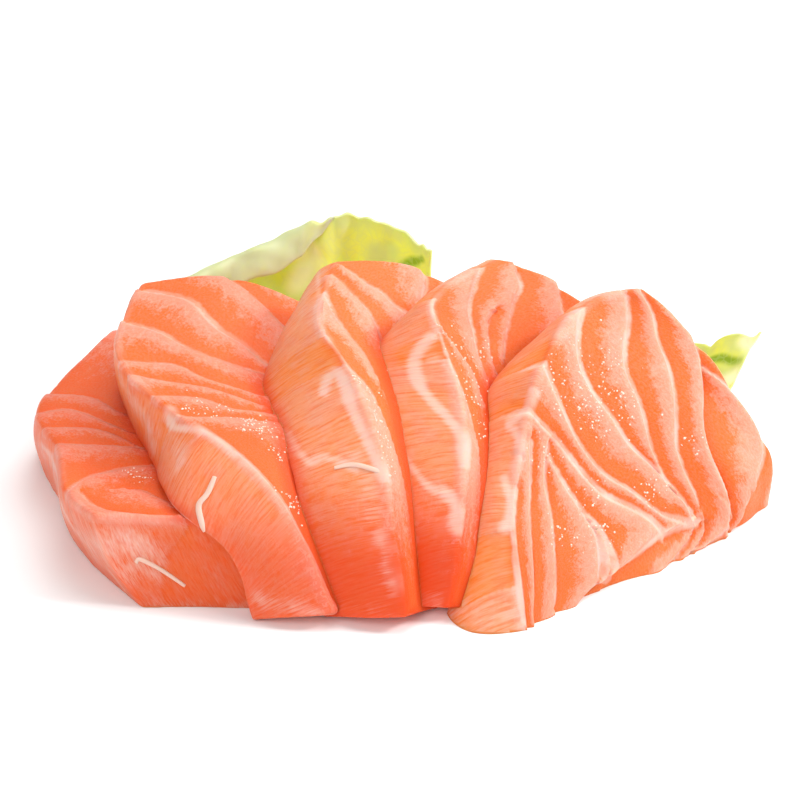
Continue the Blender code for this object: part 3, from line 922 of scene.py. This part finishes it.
class SASHIMI_OT_strands(bpy.types.Operator):
    """Lay the loose strands of fat on the rims"""

    bl_idname = "sashimi.strands"
    bl_label = "Strands of fat"

    def execute(self, context):
        sizes = context.scene.sashimi_sizes
        colours = context.scene.sashimi_colours
        fat, _, _ = new_material(
            "salmon_fat",
            Base_Color=(*colours.membrane, 1),
            Roughness=0.3,
            IOR=1.44,
            Subsurface_Weight=0.4,
            Subsurface_Radius=(1.0, 0.6, 0.4),
            Subsurface_Scale=0.8 * MM,
        )
        for number, (slice_name, width, places) in enumerate(STRANDS, 1):
            find = surface_finder(bpy.data.objects[slice_name + "_flesh"])
            found = [find(place) for place in places]
            centres = [place for place, _ in found]
            normals = [normal for _, normal in found]
            tube = bmesh.new()
            bmesh.ops.create_cone(
                tube, cap_ends=True, segments=12, radius1=1, radius2=1, depth=1, calc_uvs=False
            )
            lengthways = [e for e in tube.edges if abs(e.verts[0].co.z - e.verts[1].co.z) > 0.5]
            bmesh.ops.subdivide_edges(tube, edges=lengthways, cuts=STRAND_RINGS)
            for vert in tube.verts:
                along = vert.co.z + 0.5
                start, end = max(along - STRAND_STEP, 0), min(along + STRAND_STEP, 1)
                ahead = smooth_curve(centres, end) - smooth_curve(centres, start)
                up = smooth_curve(normals, along).normalized()
                across = ahead.cross(up).normalized()
                slim = 0.5 + 0.5 * math.sin(math.pi * (0.1 + 0.8 * along)) ** 0.5
                vert.co = (
                    smooth_curve(centres, along)
                    + across * vert.co.x * slim * width * MM / 2
                    + up * (vert.co.y * slim + 0.4) * sizes.strand / 2
                )
            bmesh.ops.recalc_face_normals(tube, faces=tube.faces)
            obj = mesh_object(f"fat_strand_{number}", tube)
            obj.data.materials.append(fat)
            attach(obj, "root")
        return {"FINISHED"}


class SASHIMI_OT_beads(bpy.types.Operator):
    """Scatter the beads of moisture over the wet spots"""

    bl_idname = "sashimi.beads"
    bl_label = "Beads of moisture"

    def execute(self, context):
        sizes = context.scene.sashimi_sizes
        # The beads' near-white colour is a painted highlight, for glints too small for the lamps to light.
        moisture, _, _ = new_material(
            "water_and_oil_painted_glint",
            Base_Color=(*context.scene.sashimi_colours.moisture, 1),
            Roughness=0.08,
            IOR=1.4,
            Coat_Weight=1.0,
            Coat_Roughness=0.03,
        )
        random = np.random.default_rng(BEAD_SEED)
        beads = bmesh.new()
        for piece in SLICES:
            find = surface_finder(bpy.data.objects[piece.name + "_flesh"])
            scale = np.array(slice_scale(piece))
            for along, down, reach in piece.glints:
                cluster = bmesh.new()
                for _ in range(round(sizes.beads_per_cm2 * math.pi * (reach / 10) ** 2)):
                    away = random.normal(0, reach / BEAD_SPREAD, 3) * (1, 1, 0)
                    place, normal = find(np.abs((along, down, 0) + away / scale))
                    radius = sizes.bead * random.uniform(0.3, 1)
                    turn = normal.to_track_quat("Z", "Y").to_matrix().to_4x4()
                    turn @= Matrix.Rotation(random.uniform(0, math.pi), 4, "Z")
                    slim = Matrix.Diagonal((1, random.uniform(0.4, 1), BEAD_FLATNESS, 1))
                    at = Matrix.Translation(place) @ turn @ slim
                    bmesh.ops.create_uvsphere(cluster, u_segments=8, v_segments=4, radius=radius, matrix=at)
                mesh = bpy.data.meshes.new("cluster")
                cluster.to_mesh(mesh)
                cluster.free()
                beads.from_mesh(mesh)
                bpy.data.meshes.remove(mesh)
        obj = mesh_object("moisture_beads_painted_glint", beads)
        obj.data.materials.append(moisture)
        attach(obj, "root")
        return {"FINISHED"}


def leaf_point(leaf, s, t):
    """Place in a leaf: s from its left end to its right one, t from its foot to its margin."""
    foot = smooth_curve(leaf.foot, s)
    crest = smooth_curve(leaf.crest, s)
    folded = max(0, min(1, (leaf.lip_end - s) / LIP_FADE))
    crest_at = 1 - (1 - LEAF_CREST) * folded
    rise = min(t / crest_at, 1)
    fold = max(t - crest_at, 0) / (1 - LEAF_CREST)
    lip = leaf.lip * fold
    place = foot.lerp(crest, rise)
    place.y += leaf.belly * 4 * rise * (1 - rise)
    place += LIP_FALL * lip
    place.z += lip * (folded - fold) + LEAF_LIFT
    place.y -= leaf.pleat * math.exp(-(((s - 0.5) / PLEAT_REACH) ** 2)) * math.sin(math.pi * t)
    wave = leaf.ruffle * t**3
    place.y += wave * math.sin(2 * math.pi * WAVES[0] * s)
    place.z += 0.6 * wave * math.sin(2 * math.pi * WAVES[1] * s + 1)
    for at, height, reach in leaf.nicks:
        place.z += height * math.exp(-(((s - at) / reach) ** 2)) * rise**4
    crumple = noise.noise_vector(place / CRUMPLE_SIZE) * min(rise * 2, 1) * CRUMPLE_DEPTH
    return place + Vector((0, crumple.y, crumple.z * 0.6))


def leaf_fields(leaf, s, t):
    """Where a leaf is pale and where painted dark with shade, and its places in mm, for the material to read.
    """
    width = (Vector(leaf.crest[-1]) - Vector(leaf.crest[0])).length
    height = (Vector(leaf.crest[-1]) - Vector(leaf.foot[-1])).length
    x, y = s * width, t * height

    def strokes(lines, reach):
        field = np.zeros_like(s)
        for line in lines:
            away, _, _ = reach_of([(a * width, b * height) for a, b in line], x, y)
            field = np.maximum(field, smooth_step(reach, reach / 6, away))
        return field

    folded = np.clip((leaf.lip_end - s) / LIP_FADE, 0, 1)
    pale = smooth_step(0.68, 0.76, t) * folded
    pale = np.maximum(pale, 0.9 * strokes(leaf.blanched, 4.0))
    pale = np.maximum(pale, 0.7 * np.maximum(smooth_step(0.93, 1.0, s), smooth_step(0.62, 0.35, t)))
    pale = np.maximum(pale, 0.8 * (leaf.lip > 0) * smooth_step(0.84, 1.0, t))
    # Painted shade: dark along the creases, and a little along the margin's very edge.
    deep = np.maximum(0.9 * strokes(leaf.creases, 1.5), 0.3 * smooth_step(0.97, 1.0, t))
    rib = 0.8 * strokes(leaf.ribs, 2.6)
    return {"sheet": np.stack([x, y, s * 0], 1), "pale": pale, "deep": deep, "rib": rib}


def lettuce(colours):
    """Butterhead lettuce, a thin crisp leaf.

    The leaf is waxy and lets light through, yellow green in its heart and pale where it folds,
    with a net of fine pale veins.
    """
    material, tree, shader = new_material(
        "lettuce_leaf",
        Roughness=0.4,
        IOR=1.42,
        Subsurface_Weight=1.0,
        Subsurface_Radius=(0.8, 1.0, 0.38),
        Subsurface_Scale=2.0 * MM,
        Coat_Weight=0.1,
        Coat_Roughness=0.3,
    )
    sheet = add_node(tree, "Attribute", {}, "Vector", attribute_name="sheet")
    pale, deep, rib = (
        add_node(tree, "Attribute", {}, "Fac", attribute_name=name) for name in ("pale", "deep", "rib")
    )
    clouds = add_node(tree, "TexNoise", {"Vector": sheet, "Scale": 0.22, "Detail": 3.0})
    # The veins' mesh is 1 to 2 mm wide, bent by the clouds so that no two are alike.
    bend = clouds.node.outputs["Color"]
    bent = add_node(tree, "VectorMath", {0: bend, 1: (4.0, 4.0, 0.0), 2: sheet}, operation="MULTIPLY_ADD")
    veins = add_node(tree, "TexVoronoi", {"Vector": bent, "Scale": 0.6}, feature="DISTANCE_TO_EDGE")
    vein = add_node(
        tree, "MapRange", {"Value": veins, "From Min": 0.12, "From Max": 0.0, "To Max": 0.3}, **EASED
    )
    cloudy = add_node(tree, "Math", {0: clouds, 1: 1.6, 2: -0.8}, operation="MULTIPLY_ADD")
    paleness = add_node(tree, "Math", {0: pale, 1: cloudy}, operation="ADD", use_clamp=True)
    # Deep is painted shade, in the creases and along the margin's edge.
    colour = (*colours.leaf, 1)
    for share, over in (
        (deep, colours.leaf_painted_shade),
        (paleness, colours.leaf_pale),
        (vein, colours.leaf_pale),
        (rib, colours.leaf_rib),
    ):
        colour = add_node(tree, "Mix", {0: share, 6: colour, 7: (*over, 1)}, 2, data_type="RGBA")
    tree.links.new(colour, shader.inputs["Base Color"])
    bump = add_node(tree, "Bump", {"Height": clouds, "Strength": 0.4, "Distance": 0.3 * MM})
    tree.links.new(bump, shader.inputs["Normal"])
    return material


class SASHIMI_OT_leaves(bpy.types.Operator):
    """Build the lettuce leaves behind the slices"""

    bl_idname = "sashimi.leaves"
    bl_label = "Lettuce leaves"

    def execute(self, context):
        sizes = context.scene.sashimi_sizes
        green = lettuce(context.scene.sashimi_colours)
        noise.seed_set(CRUMPLE_SEED)
        for leaf in LEAVES:
            sheet = bmesh.new()
            bmesh.ops.create_grid(sheet, x_segments=leaf.cells[0], y_segments=leaf.cells[1], size=0.5)
            shares = [(v.co.x + 0.5, v.co.y + 0.5) for v in sheet.verts]
            for vert, (s, t) in zip(sheet.verts, shares):
                vert.co = to_world(leaf_point(leaf, s, t))
            obj = mesh_object(leaf.name + "_sheet", sheet)
            for name, values in leaf_fields(leaf, *np.array(shares).T).items():
                write_attribute(obj.data, name, values)
            add_modifier(obj, "SOLIDIFY", thickness=sizes.leaf_thickness, offset=0)
            apply_modifiers(obj)
            obj.data.materials.clear()
            obj.data.materials.append(green)
            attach(obj, "root")
            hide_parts(leaf.name)
        return {"FINISHED"}


def aim(obj, place, target):
    """Puts the object at a place, looking at the target."""
    obj.location = place
    obj.rotation_euler = (Vector(target) - Vector(place)).to_track_quat("-Z", "Y").to_euler()
    bpy.context.scene.collection.objects.link(obj)


def add_softbox(name, place, size, power):
    """A square studio light that looks at the serving."""
    light = bpy.data.lights.new(name, "AREA")
    light.size = size
    light.energy = power
    aim(bpy.data.objects.new(name, light), place, LIGHT_TARGET)


class SASHIMI_OT_stage(bpy.types.Operator):
    """Set the floor, the lights and the camera"""

    bl_idname = "sashimi.stage"
    bl_label = "Stage"

    def execute(self, context):
        sheet = bmesh.new()
        bmesh.ops.create_grid(sheet, x_segments=1, y_segments=1, size=FLOOR_REACH)
        bmesh.ops.translate(sheet, verts=sheet.verts, vec=(0, 0, -FLOOR_DROP))
        floor = mesh_object("floor", sheet)
        paper, _, _ = new_material(
            "white_paper", Base_Color=(*context.scene.sashimi_colours.floor, 1), Roughness=0.9
        )
        floor.data.materials.append(paper)
        world = bpy.data.worlds.new("white_studio")
        context.scene.world = world
        world.use_nodes = True
        sky = world.node_tree.nodes["Background"]
        sky.inputs["Color"].default_value = (1, 1, 1, 1)
        sky.inputs["Strength"].default_value = SKY_STRENGTH
        for light in LIGHTS:
            add_softbox(*light)
        back = Vector((0, -math.cos(VIEW_ELEVATION), math.sin(VIEW_ELEVATION)))
        camera = bpy.data.objects.new("camera", bpy.data.cameras.new("camera"))
        camera.data.lens = VIEW_LENS
        camera.data.shift_y = VIEW_SHIFT
        camera.data.clip_start = VIEW_CLIP
        aim(camera, Vector(VIEW_TARGET) + back * VIEW_DISTANCE, VIEW_TARGET)
        context.scene.camera = camera
        context.scene.view_settings.view_transform = "Standard"
        return {"FINISHED"}


class SASHIMI_PT_panel(bpy.types.Panel):
    """Lists the steps that build the serving, with its sizes and colours"""

    bl_idname = "SASHIMI_PT_panel"
    bl_label = "Salmon sashimi"
    bl_space_type = "VIEW_3D"
    bl_region_type = "UI"
    bl_category = "Sashimi"

    def draw(self, context):
        for step in STEPS:
            self.layout.operator(step.bl_idname)
        for group in (context.scene.sashimi_sizes, context.scene.sashimi_colours):
            for name in group.__annotations__:
                self.layout.prop(group, name)


STEPS = (SASHIMI_OT_slices, SASHIMI_OT_strands, SASHIMI_OT_beads, SASHIMI_OT_leaves, SASHIMI_OT_stage)
CLASSES = (SashimiSizes, SashimiColours, *STEPS, SASHIMI_PT_panel)


def register():
    for made in CLASSES:
        bpy.utils.register_class(made)
    bpy.types.Scene.sashimi_sizes = PointerProperty(type=SashimiSizes)
    bpy.types.Scene.sashimi_colours = PointerProperty(type=SashimiColours)


def unregister():
    del bpy.types.Scene.sashimi_colours
    del bpy.types.Scene.sashimi_sizes
    for made in reversed(CLASSES):
        bpy.utils.unregister_class(made)


def main():
    register()
    bpy.ops.sashimi.slices()
    bpy.ops.sashimi.strands()
    bpy.ops.sashimi.beads()
    bpy.ops.sashimi.leaves()
    bpy.ops.sashimi.stage()


if __name__ == "__main__":
    main()
